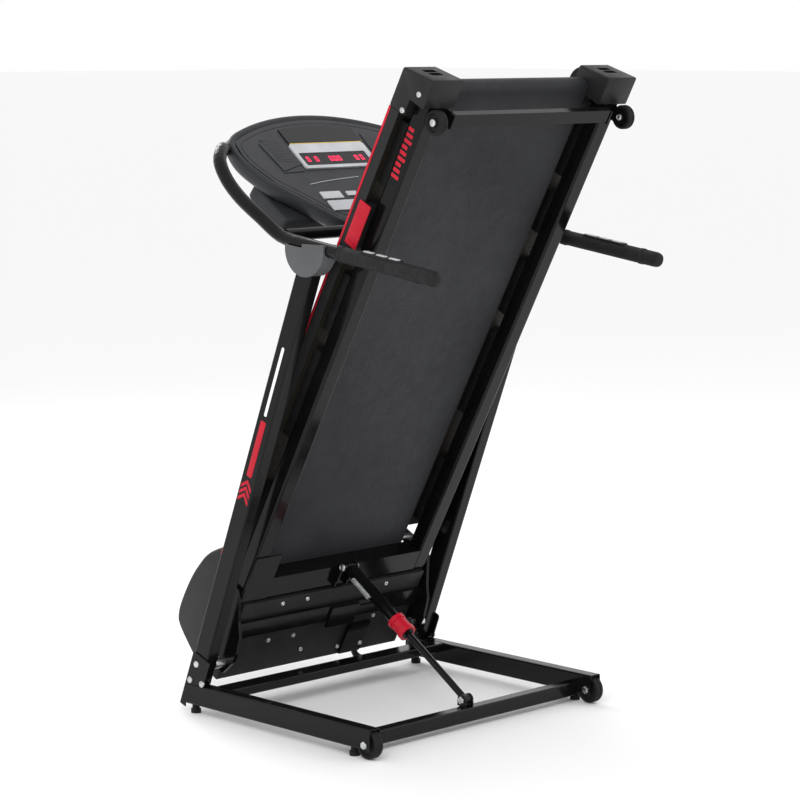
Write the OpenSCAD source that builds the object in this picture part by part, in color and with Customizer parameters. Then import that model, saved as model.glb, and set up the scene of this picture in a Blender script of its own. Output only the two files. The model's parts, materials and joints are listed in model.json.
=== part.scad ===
/* [Base frame] */
// overall width across the outer faces of the two base rails, mm
base_width = 700; // [660:5:740]
// length of each base rail, front to back
rail_length = 574; // [550:2:600]
// width of a base rail
rail_width = 30; // [28:1:32]
// height of a base rail
rail_height = 45; // [42:1:48]
// height of the rail underside above the floor
rail_lift = 20; // [18:0.5:22]
// wall of the steel tubes
tube_wall = 2.5; // [2:0.1:3]
// outside size of the square rear crossbar
rear_bar = 30; // [28:1:32]
// distance from the rear rail ends to the rear face of the rear crossbar
rear_bar_inset = 44; // [42:1:48]
// depth of the flat front crossbar, front to back
front_bar_depth = 50; // [44:1:54]
// height of the flat front crossbar
front_bar_height = 20; // [18:1:22]
// distance from the front rail ends to the front face of the front crossbar
front_bar_inset = 72; // [68:1:80]
// radius of the rubber feet
foot_radius = 11; // [10:0.5:12]
// radius of the transport wheels in the rail ends
transport_radius = 30; // [29:0.25:30]
// width of a transport wheel
transport_width = 20; // [18:0.5:21]
// height of the transport wheel axle
transport_height = 31; // [30.5:0.25:31.5]

/* [Uprights] */
// backward lean of the uprights from vertical, degrees
upright_lean = 21.4; // [20:0.2:22]
// width of an upright
upright_width = 30; // [28:1:30]
// depth of an upright, square to its length
upright_depth = 45; // [43:1:47]
// length of an upright along its slope, from the floor line
upright_length = 1085; // [1075:1:1095]
// distance ahead of the rail end where the front edge line meets the floor
upright_toe = 24.2; // [20:0.2:28]
// thickness of the foot plates
plate_thick = 3; // [2.5:0.1:3]
// width of the foot plates
plate_width = 56; // [54:1:60]
// top of the foot plates, measured along the upright
plate_top = 150; // [140:1:160]

/* [Handlebars and console] */
// outside radius of the handlebar tube
bar_radius = 14; // [13:0.25:14.5]
// downward slope of the handlebars toward their rear ends, degrees
bar_slope = 7.5; // [6:0.5:9]
// length of the straight handlebar tube
bar_length = 366; // [350:1:380]
// radius of the grip sleeve
grip_radius = 17; // [16.5:0.25:18]
// tilt of the console face from level, degrees
console_tilt = 39; // [36:1:42]
// half width of the console at its side tips
console_half = 276; // [266:1:280]
// height of the middle of the console face above the floor
console_height = 1189; // [1180:1:1196]
// depth of the console shell behind its face
console_depth = 46; // [42:1:48]

/* [Folding deck] */
// backward lean of the folded deck from vertical, degrees
deck_lean = 28.2; // [27.8:0.1:28.6]
// distance of the fold pivot behind the front end of the rails
pivot_inset = 55; // [53:0.5:57]
// height of the fold pivot above the floor
pivot_height = 110; // [108:0.5:112]
// distance of the fold pivot below the belt surface
pivot_depth = 105.6; // [104:0.2:107]
// distance of the fold pivot up the deck from its floor line
pivot_along = 181.4; // [180:0.2:183]
// half width of the deck over its foot rails
deck_half = 300; // [296:1:302]
// half width of the running belt
belt_half = 213; // [206:1:213]
// thickness of the running belt
belt_thick = 2; // [1.6:0.1:2.4]
// station of the front roller up the deck
front_roller_at = 372; // [370:0.5:374]
// station of the rear roller up the deck
rear_roller_at = 1535; // [1530:0.5:1538]
// outside radius of the belt where it turns round the rollers
belt_turn = 21; // [20:0.25:21]
// width of a steel side tube of the deck
side_tube_width = 41; // [38:1:42]
// height of a steel side tube of the deck
side_tube_height = 38; // [36:1:39]
// radius of the deck wheels
deck_wheel_radius = 25; // [23:0.5:26]

/* [Lock strut] */
// radius of the inner strut rod
rod_radius = 7.5; // [7:0.25:8]
// outside radius of the strut tube
strut_radius = 14; // [13.5:0.25:14]
// station of the strut's upper pin up the deck
strut_top_at = 385; // [383:0.5:387]
// depth of the strut's upper pin below the belt surface
strut_top_depth = 100.5; // [100:0.25:102]
// outside radius of the red lock collar
collar_radius = 20; // [18:0.5:21]

/* [Fits] */
// radial gap of a running fit
fit = 0.06; // [0.02:0.01:0.09]
// gap between faces that pass each other
gap = 0.4; // [0.35:0.05:0.6]

/* [Hidden] */
$fn = 64;
paint = [0.07, 0.07, 0.08];
zinc = [0.72, 0.73, 0.74];
steel = [0.55, 0.56, 0.58];
rubber = [0.05, 0.05, 0.05];
plastic = [0.10, 0.10, 0.11];
grey = [0.42, 0.43, 0.45];
silver = [0.68, 0.70, 0.72];
red = [0.72, 0.05, 0.07];
green = [0.05, 0.28, 0.16];
wood = [0.62, 0.46, 0.30];

rail_x = base_width / 2 - rail_width / 2;
rail_top = rail_lift + rail_height;
rail_front = rail_length / 2;
rail_inner = base_width / 2 - rail_width;
transport_y = -rail_front + 15;
upright_x = base_width / 2 - plate_thick - upright_width / 2;
upright_foot = rail_front + upright_toe;
upright_inner = upright_x - upright_width / 2;
upright_outer = upright_x + upright_width / 2;
rear_bar_y = -rail_front + rear_bar_inset + rear_bar / 2;
rear_bar_z = 28;
front_bar_y = rail_front - front_bar_inset - front_bar_depth / 2;
front_bar_z = rail_top - front_bar_height / 2;
pivot_y = rail_front - pivot_inset;
pin_radius = 8;
bolt_radius = 4;

bar_start = [upright_x, -92, 1029];
bar_aim = [0, cos(bar_slope), sin(bar_slope)];
bar_rear = bar_start - bar_length * bar_aim;
console_y = 176;
loop_points = [
    bar_start + 16 * bar_aim,
    [upright_x + 2, -14, 1043],
    [upright_x + 12, 36, 1078],
    [upright_x + 18, 92, 1116],
    [upright_x + 18, 134, 1152],
    [upright_x + 8, 168, 1188],
    [upright_x - 26, 200, 1212],
    [upright_x - 54, 223, 1210],
    [upright_x - 80, 242, 1212],
    [upright_x - 112, 256, 1222]
];

hinge_thick = 8;
side_tube_out = deck_half - 19;
side_tube_in = side_tube_out - side_tube_width;
side_tube_top = 45;
side_tube_end = 1526;
rail_end_at = 1490;
hood_end_at = 398;
roller_depth = 3 + belt_turn;
roller_radius = belt_turn - belt_thick - 0.35;
board_top = 3 + belt_thick + 0.4;
board_thick = 18;
board_bottom = board_top + board_thick;
motor_at = 190;
motor_depth = 8;
motor_pulley = 15;
roller_pulley = 27;
pulley_x = -(belt_half + 15);
pulley_wide = 18;
drive_belt_thick = 3;

rear_bar_top = rear_bar_z + rear_bar / 2;
strut_foot = [rear_bar_y + 12, rear_bar_top + 12.5];
strut_top = [
    pivot_y - (strut_top_at - pivot_along) * sin(deck_lean)
        - (strut_top_depth - pivot_depth) * cos(deck_lean),
    pivot_height + (strut_top_at - pivot_along) * cos(deck_lean)
        - (strut_top_depth - pivot_depth) * sin(deck_lean)
];
strut_span = strut_top - strut_foot;
strut_length = norm(strut_span);
strut_angle = atan2(strut_span[1], strut_span[0]);
strut_tube_start = strut_length - 222;
strut_rod_end = strut_length - 200;
collar_start = strut_length - 220;
collar_length = 45;

hood_front = pivot_y + (pivot_along - 164) * sin(deck_lean) + (pivot_depth + 83) * cos(deck_lean);
grip_end_cap = 4;
machine_mid = (hood_front + bar_rear[1] - grip_end_cap * cos(bar_slope)
    - (grip_radius - 1) * sin(bar_slope)) / 2;

// mirrored copy for the left side (side -1) or the right side (side 1)
module side(s) mirror([s < 0 ? 1 : 0, 0, 0]) children();
module both() for (s = [-1, 1]) side(s) children();

// frames of the leaning uprights, the folded deck, the console face and the strut
module at_upright() translate([0, upright_foot, 0]) rotate([upright_lean, 0, 0]) children();
module at_deck() translate([0, pivot_y, pivot_height]) rotate([deck_lean, 0, 0])
    translate([0, pivot_depth, -pivot_along]) children();
module at_console() translate([0, console_y, console_height]) rotate([console_tilt, 0, 0]) children();
module at_strut() translate([0, strut_foot[0], strut_foot[1]]) rotate([strut_angle, 0, 0]) children();

module round_rect(w, h, r) {
    square([w - 2 * r, h], center = true);
    square([w, h - 2 * r], center = true);
    for (a = [-1, 1], b = [-1, 1]) translate([a * (w / 2 - r), b * (h / 2 - r)]) circle(r);
}
module tube_section(w, h, r) difference() {
    round_rect(w, h, r);
    round_rect(w - 2 * tube_wall, h - 2 * tube_wall, max(r - tube_wall, 0.5));
}
// extrude a (y, z) outline along x from x0 to x1
module along_x(x0, x1) translate([x0, 0, 0]) rotate([90, 0, 90]) linear_extrude(x1 - x0) children();
// round bar along x
module pin_x(x0, x1, y, z, r) translate([x0, y, z]) rotate([0, 90, 0]) cylinder(r = r, h = x1 - x0);
// block in the deck frame, t is depth below the belt surface and s the station up the deck
module block(x0, x1, t0, t1, s0, s1) translate([x0, -t1, s0]) cube([x1 - x0, t1 - t0, s1 - s0]);
module hex_head(x0, x1, y, z, r) translate([x0, y, z]) rotate([0, 90, 0])
    cylinder(r = r, h = x1 - x0, $fn = 6);

// round bar from point a to point b
module rod_between(a, b, r) translate(a)
    rotate([0, acos((b - a)[2] / norm(b - a)), atan2((b - a)[1], (b - a)[0])])
        cylinder(r = r, h = norm(b - a));

// closed skin through rings of points
module skin(rings) {
    n = len(rings[0]);
    last = len(rings) - 1;
    points = [for (ring = rings, p = ring) p];
    walls = [for (i = [0 : last - 1], j = [0 : n - 1], half = [0, 1])
        let (a = i * n + j, b = i * n + (j + 1) % n)
        half == 0 ? [a, b, b + n] : [a, b + n, a + n]];
    caps = [[for (j = [n - 1 : -1 : 0]) j], [for (j = [0 : n - 1]) last * n + j]];
    polyhedron(points = points, faces = concat(walls, caps));
}
function unit(v) = v / norm(v);
function smooth_at(a, b, c, d, u) = 0.5 * (2 * b + (c - a) * u + (2 * a - 5 * b + 4 * c - d) * u * u
    + (3 * b - a - 3 * c + d) * u * u * u);
// smooth route through hand-set points, a few steps between each pair
function route(p, steps) = concat(
    [for (i = [0 : len(p) - 2], k = [0 : steps - 1])
        smooth_at(p[max(i - 1, 0)], p[i], p[i + 1], p[min(i + 2, len(p) - 1)], k / steps)],
    [p[len(p) - 1]]);
function ring_at(path, i, r, sides, up) =
    let (
        d = unit(path[min(i + 1, len(path) - 1)] - path[max(i - 1, 0)]),
        u = unit(cross(up, d)),
        v = cross(d, u))
    [for (j = [0 : sides - 1]) path[i] + r * (cos(360 * j / sides) * u + sin(360 * j / sides) * v)];
module swept(path, r, sides, up) skin([for (i = [0 : len(path) - 1]) ring_at(path, i, r, sides, up)]);

// ---- base frame ----
module base_rails() color(paint) both() difference() {
    translate([rail_x, rail_front, rail_lift + rail_height / 2]) rotate([90, 0, 0])
        linear_extrude(rail_length) round_rect(rail_width, rail_height, 4);
    translate([rail_x, rail_front - 3, rail_lift + rail_height / 2]) rotate([90, 0, 0])
        linear_extrude(rail_length)
            round_rect(rail_width - 2 * tube_wall, rail_height - 2 * tube_wall, 1.5);
    translate([rail_x - rail_width / 2 + tube_wall, -rail_front - 1, rail_lift - 1])
        cube([rail_width - 2 * tube_wall, 45, tube_wall + 2]);
    pin_x(rail_inner - 5, base_width, transport_y, transport_height, bolt_radius + 0.05);
}
module rear_bar_tube() color(paint) along_x(-rail_inner, rail_inner)
    translate([rear_bar_y, rear_bar_z]) tube_section(rear_bar, rear_bar, 4);
module front_bar_tube() color(paint) along_x(-rail_inner, rail_inner)
    translate([front_bar_y, front_bar_z]) tube_section(front_bar_depth, front_bar_height, 3.5);

module crossbars() {
    rear_bar_tube();
    front_bar_tube();
}

// plate bolts as distance behind the front edge and distance up the upright
plate_bolts = [[19.8, 128], [13, 85], [50.5, 96]];
module foot_plates() color(paint) both() difference() {
    at_upright() difference() {
        along_x(upright_outer, upright_outer + plate_thick) union() {
            translate([-plate_width, 20]) square([plate_width, plate_top - 28]);
            translate([8 - plate_width, plate_top - 10]) square([plate_width - 16, 10]);
            for (y = [8 - plate_width, -8]) translate([y, plate_top - 8]) circle(8);
        }
        for (b = plate_bolts)
            pin_x(upright_inner, base_width, -b[0], b[1], bolt_radius + 0.05);
    }
    translate([0, -rail_front, -50]) cube([base_width, rail_length, rail_top + 50]);
}
module plate_bolt_set() both() at_upright() for (b = plate_bolts) {
    pin_x(upright_outer - 5, upright_outer + plate_thick, -b[0], b[1], bolt_radius);
    pin_x(upright_outer + plate_thick, upright_outer + plate_thick + 2, -b[0], b[1], 7.5);
}
module rubber_feet() color(rubber) both() for (y = [59 - rail_front, rail_front - 19]) {
    translate([rail_x, y, 0]) cylinder(r = foot_radius, h = 9);
    translate([rail_x, y, 9]) cylinder(r = foot_radius - 3, h = rail_lift - 9);
}
module uprights() color(paint) both() difference() {
    at_upright() difference() {
        translate([upright_x, -upright_depth / 2, 0]) linear_extrude(upright_length)
            union() {
                round_rect(upright_width, upright_depth, 4);
                translate([0, -upright_depth / 2 + 12])
                    square([upright_width - 6, 24], center = true);
            }
        translate([upright_x, -upright_depth / 2, -1]) linear_extrude(upright_length + 2)
            round_rect(upright_width - 2 * tube_wall, upright_depth - 2 * tube_wall, 1.5);
        for (b = plate_bolts)
            pin_x(upright_x, base_width, -b[0], b[1], bolt_radius + 0.05);
    }
    translate([0, 0, -100]) cube([base_width, base_width, rail_top + 100]);
    pin_x(0, upright_x, pivot_y, pivot_height, pin_radius + 0.05);
    at_bar() cylinder(r = bar_radius + 0.05, h = bar_length, center = true);
}
module transport_axles() both() {
    pin_x(rail_inner - 2, base_width / 2 + 1, transport_y, transport_height, bolt_radius);
    hex_head(base_width / 2, base_width / 2 + 5, transport_y, transport_height, 8);
    hex_head(rail_inner - 6, rail_inner, transport_y, transport_height, 8);
}
module transport_wheel(s) side(s) color(rubber) difference() {
    pin_x(rail_x - transport_width / 2, rail_x + transport_width / 2,
        transport_y, transport_height, transport_radius);
    pin_x(rail_x - transport_width, rail_x + transport_width,
        transport_y, transport_height, bolt_radius + fit);
    for (a = [-1, 1]) translate([rail_x + a * transport_width / 2, transport_y, transport_height])
        rotate([0, 90, 0]) difference() {
            cylinder(r = transport_radius - 7, h = 8, center = true);
            cylinder(r = bolt_radius + 5, h = 9, center = true);
        }
}
module left_transport_wheel() transport_wheel(-1);
module right_transport_wheel() transport_wheel(1);

// ---- handlebars ----
module at_bar() translate(bar_start) rotate([90 + bar_slope, 0, 0]) children();
cover_radius = 57;
cover_y = -99;
cover_flat = 1032;
module top_covers() color(grey) both() difference() {
    along_x(upright_inner - 3, upright_outer + 3) intersection() {
        translate([cover_y, cover_flat - 10]) circle(cover_radius);
        translate([cover_y - 80, cover_flat - 90]) square([160, 90]);
    }
    at_upright() translate([upright_x, -upright_depth / 2, 500]) linear_extrude(upright_length)
        square([upright_width + 0.2, upright_depth + 0.2], center = true);
    at_bar() cylinder(r = bar_radius + 0.1, h = bar_length, center = true);
    rod_between(loop_points[0] - 16 * bar_aim, loop_points[1], bar_radius + 4.5);
}
module handlebars() color(paint) both() at_bar() difference() {
    cylinder(r = bar_radius, h = bar_length);
    translate([0, 0, 3]) cylinder(r = bar_radius - tube_wall, h = bar_length);
}
grip_start = 98;
module grips() color(rubber) both() at_bar() difference() {
    union() {
        translate([0, 0, grip_start]) cylinder(r = grip_radius - 1, h = bar_length - grip_start);
        for (z = [grip_start, bar_length - 50]) translate([0, 0, z]) cylinder(r = grip_radius, h = 10);
        translate([0, 0, bar_length]) cylinder(r = grip_radius - 1, h = 4);
    }
    translate([0, 0, grip_start - 1]) cylinder(r = bar_radius + 0.1, h = bar_length - grip_start + 1);
    translate([-9, 9, key_from - 1]) cube([18, 12, key_long + 2]);
}
key_from = 160;
key_long = 105;
module grip_key(s) side(s) color(plastic) at_bar() difference() {
    translate([-8.4, -2, key_from - 0.4]) cube([16.8, 21, key_long + 0.8]);
    cylinder(r = bar_radius + 1.6, h = bar_length);
}
module left_grip_key() grip_key(-1);
module right_grip_key() grip_key(1);
cross_y = -8;
cross_z = 1044;
cross_radius = 13;
cross_half = upright_x - bar_radius + 1.3;
module console_arms() color(paint) both()
    swept(concat([bar_start + 0.5 * bar_aim], route(loop_points, 4)), bar_radius, 20, [1, 0, 0]);
module console_crossbar() color(paint) difference() {
    translate([-cross_half, cross_y, cross_z]) rotate([0, 90, 0])
        cylinder(r = cross_radius, h = 2 * cross_half);
    translate([-cross_half - 1, cross_y, cross_z]) rotate([0, 90, 0])
        cylinder(r = cross_radius - tube_wall, h = 2 * cross_half + 2);
}

// ---- console ----
crown_rise = 74;
crown_top = 140;
crown_radius = (console_half * console_half + crown_rise * crown_rise) / (2 * crown_rise);
module console_outline(inset) intersection() {
    translate([0, crown_top - crown_radius]) circle(crown_radius - inset, $fn = 200);
    polygon([for (p = [
        [-console_half + 6, 60], [-console_half, 15], [-console_half + 3, -10], [-240, -83],
        [-197, -125], [-132, -202], [-104, -212], [104, -212], [132, -202], [197, -125],
        [240, -83], [console_half - 3, -10], [console_half, 15], [console_half - 6, 60],
        [200, 200], [-200, 200]])
        p * (1 - inset / 240)]);
}
pod_half = 235;
module console_shell() color(plastic) at_console() difference() {
    union() {
        translate([0, 0, -console_depth]) linear_extrude(console_depth) console_outline(0);
        difference() {
            translate([-pod_half, -196, -console_depth - 34]) cube([2 * pod_half, 176, 35]);
            translate([-pod_half - 5, -230, -console_depth - 60]) rotate([-24, 0, 0])
                cube([2 * pod_half + 10, 70, 80]);
        }
    }
    translate([0, 0, -console_depth + 3]) linear_extrude(console_depth) console_outline(16);
    rotate([-console_tilt, 0, 0]) translate([0, -console_y, -console_height]) both()
        for (i = [5 : len(loop_points) - 2]) let (run = unit(loop_points[i + 1] - loop_points[i]))
            rod_between(loop_points[i] - 8 * run,
                loop_points[i + 1] + (i < len(loop_points) - 2 ? 8 : 0.8) * run, bar_radius + 2.5);
}
key_places = [
    [-130, -73, -130, -109], [-128, -50, -167, -137], [-56, -27, -124, -111],
    [50, 128, -167, -137], [73, 130, -130, -109]
];
face_thick = 4;
module key_block(i, grow, w0, w1) translate([key_places[i][0] - grow, key_places[i][2] - grow, w0])
    cube([key_places[i][1] - key_places[i][0] + 2 * grow,
          key_places[i][3] - key_places[i][2] + 2 * grow, w1 - w0]);
module console_face() color(plastic) at_console() difference() {
    union() {
        translate([0, 0, -face_thick - 2]) linear_extrude(face_thick) console_outline(16.6);
        for (x = [-112, 112], y = [-100, 75]) translate([x, y, -24.3]) cylinder(r = 4, h = 20);
    }
    for (i = [0 : len(key_places) - 1]) key_block(i, gap, -20, 10);
    translate([-16, -190, -20]) cube([32, 20, 40]);
}
module display_frame() color(silver) at_console() difference() {
    translate([-4.5, 3, -1.9]) linear_extrude(4) round_rect(219, 78, 8);
    translate([-7.5, -7, -5]) linear_extrude(12) round_rect(195, 40, 4);
}
module display_panel()
    translate([-7.5, -7, -1.9]) linear_extrude(2.4) round_rect(194.6, 39.6, 3.8);
module upper_window() translate([0, 0, -1.9]) linear_extrude(2.6)
    intersection() {
        translate([0, crown_top - crown_radius - 38]) circle(crown_radius, $fn = 200);
        translate([-107, 43]) square([214, 80]);
    }
module display_windows() color(rubber) at_console() {
    display_panel();
    upper_window();
}
module speaker_grilles() color(silver) at_console() both() {
    translate([0, 0, -1.9]) linear_extrude(2.2)
        polygon([[116, -20], [180, -39], [190, 50], [122, 72]]);
    translate([0, 0, -1.9]) linear_extrude(1.4)
        polygon([[184, -44], [126, -24], [124, -42]]);
}
module console_board() color(green) at_console() translate([-120, -175, -26]) cube([240, 260, 1.6]);
module console_key(i, shade) color(shade) at_console() difference() {
    union() {
        key_block(i, 0, -5, 0.6);
        key_block(i, -3, -22.8, -5);
    }
    key_block(i, -5, -24, -3);
}
module start_key() console_key(0, silver);
module speed_key() console_key(1, silver);
module mode_key() console_key(2, silver);
module slope_key() console_key(3, silver);
module stop_key() console_key(4, red);
module safety_key() color(red) at_console() {
    translate([-15.5, -189.5, -8]) cube([31, 19, 9]);
    translate([-6, -186, 1]) cube([12, 12, 8]);
}

// ---- harness ----
harness = [
    [160, 290, 67.5], [160, 294, 58], [163, 288, 42], [178, 266, 32], [208, 246, 30],
    [248, 238, 33], [280, 238, 46], [297, 244, 64], [306, 247, 75], [315.5, 247, 75]
];
module harness_conduit() color(rubber) swept(route(harness, 3), 8, 10, [0.2, 1, 0.1]);

// ---- fold pivot ----
module hinge_pins() color(zinc) both() {
    pin_x(side_tube_out - 6, upright_inner + 8, pivot_y, pivot_height, pin_radius);
    pin_x(side_tube_out - 6, side_tube_out - gap, pivot_y, pivot_height, 11.5);
    pin_x(side_tube_out + hinge_thick + gap, upright_inner, pivot_y, pivot_height, 12);
}

module base_fasteners() color(zinc) {
    plate_bolt_set();
    transport_axles();
    strut_foot_pin();
}

// ---- lock strut ----
module strut_foot_bracket() color(paint) {
    for (s = [-1, 1]) side(s) along_x(8.2, 12.2) difference() {
        union() {
            translate([strut_foot[0] - 12, rear_bar_top]) square([24, strut_foot[1] - rear_bar_top]);
            translate(strut_foot) circle(12);
            translate([rear_bar_y + rear_bar / 2, 20]) square([4, rear_bar_top - 8]);
        }
        translate(strut_foot) circle(5.05);
    }
    along_x(-8.2, 8.2) translate([rear_bar_y + rear_bar / 2, 20]) square([4, 20]);
}
module strut_foot_pin() {
    pin_x(-13, 13, strut_foot[0], strut_foot[1], 5);
    both() hex_head(12.2, 17, strut_foot[0], strut_foot[1], 8.5);
}
module strut_rod() color(steel) at_strut() difference() {
    union() {
        pin_x(-7.8, 7.8, 0, 0, 10);
        rotate([-90, 0, 0]) cylinder(r = rod_radius, h = strut_rod_end);
    }
    pin_x(-20, 20, 0, 0, 5 + fit);
}
module strut_tube() color(paint) at_strut() difference() {
    union() {
        translate([0, strut_tube_start, 0]) rotate([-90, 0, 0])
            cylinder(r = strut_radius, h = strut_length - 12 - strut_tube_start);
        pin_x(-9, 9, strut_length, 0, 9.5);
        translate([-9, strut_length - 15, -8]) cube([18, 15, 16]);
        for (y = [strut_length - 106, strut_length - 36])
            translate([-21, y, -1.5]) cube([20, 3, 3]);
    }
    translate([0, strut_tube_start - 1, 0]) rotate([-90, 0, 0])
        cylinder(r = strut_radius - 2, h = strut_length - 14.5 - strut_tube_start);
    pin_x(-20, 20, strut_length, 0, 5.05);
}
module strut_top_pin() color(zinc) at_strut() pin_x(-14.6, 14.6, strut_length, 0, 5);
module strut_bushing() color(plastic) at_strut() translate([0, strut_tube_start + 1, 0])
    rotate([-90, 0, 0]) difference() {
        cylinder(r = strut_radius - 2.05, h = 15);
        translate([0, 0, -1]) cylinder(r = rod_radius + fit, h = 30);
    }
module lock_collar() color(red) at_strut() translate([0, collar_start, 0]) rotate([-90, 0, 0])
    difference() {
        union() {
            cylinder(r = collar_radius - 2, h = collar_length);
            for (z = [0, collar_length - 10]) translate([0, 0, z]) cylinder(r = collar_radius, h = 10);
        }
        translate([0, 0, -1]) cylinder(r = strut_radius + fit, h = collar_length + 2);
    }
spring_turns = 11;
spring_from = strut_length - 102.5;
spring_to = strut_length - 36.5;
module strut_spring() color(zinc) at_strut() {
    coil = [for (i = [0 : spring_turns * 8]) [
        -20 + 4.6 * cos(45 * i),
        spring_from + (spring_to - spring_from) * i / (spring_turns * 8),
        4.6 * sin(45 * i)]];
    skin([for (i = [0 : len(coil) - 1])
        let (a = 45 * i)
        [for (j = [0 : 5]) coil[i] + 0.9 * (cos(60 * j) * [cos(a), 0, sin(a)]
            + sin(60 * j) * [0, 1, 0])]]);
}

// ---- deck ----
module deck_side_tubes() color(paint) at_deck() both() {
    translate([(side_tube_out + side_tube_in) / 2, -side_tube_top - side_tube_height / 2, 322])
        linear_extrude(side_tube_end - 322)
            tube_section(side_tube_width, side_tube_height, 6);
}
hinge_outline = [
    [-50, 352], [-76, 352], [-105, 290], [-124, 262], [-133, 220], [-131, 195],
    [-116, 158], [-92, 158], [-70, 230], [-50, 322]
];
module hinge_plates() color(paint) at_deck() both() difference() {
    along_x(side_tube_out, side_tube_out + hinge_thick) polygon(hinge_outline);
    pin_x(0, deck_half, -pivot_depth, pivot_along, pin_radius + fit);
}
module deck_cross_members() color(paint) at_deck() {
    block(-208, side_tube_in, side_tube_top, 48, 322, 377);
    block(-208, side_tube_in, 82, 85, 322, 377);
    block(-208, side_tube_in, 48, 82, 322, 325);
    block(-208, side_tube_in, 48, 82, 374, 377);
    block(-side_tube_out, -208, side_tube_top + side_tube_height, 86, 322, 440);
    block(-216, -208, 82, 86, 322, 377);
    block(-side_tube_out, side_tube_out, 92, 101, 234, 276);
    both() along_x(15.2, 19.2) difference() {
        union() {
            translate([-98, 330]) square([13, 52]);
            translate([-strut_top_depth, strut_top_at]) circle(10.5);
            translate([-strut_top_depth, 345]) square([15.5, 40]);
        }
        translate([-strut_top_depth, strut_top_at]) circle(4);
    }
}
module clevis_bolts() both()
    pin_x(19.2, 24, -strut_top_depth, strut_top_at, 8);
module foot_rails() color(plastic) at_deck() both() {
    block(belt_half + 3, deck_half, 0, board_top - 0.1, hood_end_at, rail_end_at);
    block(deck_half - 3, deck_half, 0, 30, hood_end_at, rail_end_at);
}
module foot_rail_stripes() color(red) at_deck() both()
    block(deck_half, deck_half + 0.8, 1, 6, hood_end_at, rail_end_at);
cushion_spans = [[430, 600], [724, 936], [984, 1118], [1330, 1470]];
module deck_cushions() color(rubber) at_deck() both() for (c = cushion_spans)
    block(side_tube_in + 5, side_tube_out - 4, board_bottom, side_tube_top, c[0], c[1]);
module red_cushions() color(red) at_deck() both() {
    block(side_tube_in + 5, deck_half + 0.2, 31, side_tube_top - 0.1, 1188, 1287);
    block(deck_half + 0.2, deck_half + 3, 18, 52, 1188, 1287);
}
module deck_board() color(wood) at_deck()
    block(-side_tube_out - 8, side_tube_out + 8, board_top, board_bottom, 405, 1486);
module running_belt() color(rubber) at_deck() along_x(-belt_half, belt_half) difference() {
    belt_loop(belt_turn);
    belt_loop(belt_turn - belt_thick);
}
module belt_loop(r) {
    for (s = [front_roller_at, rear_roller_at]) translate([-roller_depth, s]) circle(r);
    translate([-roller_depth - r, front_roller_at]) square([2 * r, rear_roller_at - front_roller_at]);
}
module roller(s) at_deck() {
    color(steel) difference() {
        pin_x(-208, 208, -roller_depth, s, roller_radius);
        pin_x(-300, 300, -roller_depth, s, pin_radius + fit);
    }
}
module rear_roller() roller(rear_roller_at);
module front_roller() {
    roller(front_roller_at);
    color(steel) at_deck() difference() {
        union() {
            pin_x(pulley_x - pulley_wide / 2, pulley_x + pulley_wide / 2,
                -roller_depth, front_roller_at, roller_pulley);
            pin_x(pulley_x, -207, -roller_depth, front_roller_at, 14);
        }
        pin_x(-300, 0, -roller_depth, front_roller_at, pin_radius + fit);
    }
}
module roller_axles() color(zinc) at_deck() {
    for (s = [front_roller_at, rear_roller_at]) pin_x(-262, 262, -roller_depth, s, pin_radius);
    both() difference() {
        block(side_tube_in + 4, side_tube_in + 10, 12, side_tube_top, front_roller_at - 12,
            front_roller_at + 18);
        pin_x(0, 300, -roller_depth, front_roller_at, pin_radius + 0.05);
    }
}
cap_inner = belt_half + 0.8;
module end_caps() color(plastic) at_deck() both() difference() {
    union() {
        along_x(cap_inner, deck_half + 0.3) polygon([[0, rail_end_at], [0, 1575], [-86, 1590],
            [-86, side_tube_end], [-side_tube_top + 0.2, side_tube_end],
            [-side_tube_top + 0.2, rail_end_at]]);
        pin_x(cap_inner, cap_inner + 19, -roller_depth - 1, rear_roller_at + 6, 37);
    }
    block(cap_inner - 1, deck_half - 9, board_top - 0.3, board_bottom + 12, rail_end_at - 1, 1500);
    pin_x(cap_inner - 5, 262.4, -roller_depth, rear_roller_at, pin_radius + 0.05);
    block(cap_inner + 26, cap_inner + 60, 22, 36, 1562, 1600);
    block(cap_inner + 26, cap_inner + 60, 40, 54, 1562, 1600);
}
module cap_screws() both() {
    pin_x(deck_half + 0.3, deck_half + 2, -38, 1499, 6);
    pin_x(deck_half + 0.3, deck_half + 2, -64, 1548, 6);
}
module wheel_bar() color(paint) at_deck() {
    block(-230, 230, 95, 110, 1499, 1527);
    both() {
        block(230, 267, side_tube_top + side_tube_height, 86, 1495, side_tube_end);
        block(230, 233.5, 86, 112, 1495, side_tube_end);
        difference() {
            along_x(263.5, 267) union() {
                translate([-110, 1495]) square([25, side_tube_end - 1495]);
                translate([-110, 1510.5]) circle(15.5);
            }
            pin_x(200, 300, -110, 1511, bolt_radius + 0.05);
        }
    }
}
module deck_wheel_axles() both() {
    pin_x(262, 287, -110, 1511, bolt_radius);
    pin_x(260, 263.5, -110, 1511, 7);
    pin_x(285.4, 289, -110, 1511, 7);
}
module deck_wheel(s) side(s) color(rubber) at_deck() difference() {
    pin_x(268.6, 285, -110, 1511, deck_wheel_radius);
    pin_x(200, 300, -110, 1511, bolt_radius + fit);
    translate([285, -110, 1511]) rotate([0, 90, 0]) difference() {
        cylinder(r = deck_wheel_radius - 7, h = 6, center = true);
        cylinder(r = bolt_radius + 4, h = 7, center = true);
    }
}
module left_deck_wheel() deck_wheel(-1);
module right_deck_wheel() deck_wheel(1);

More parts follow.
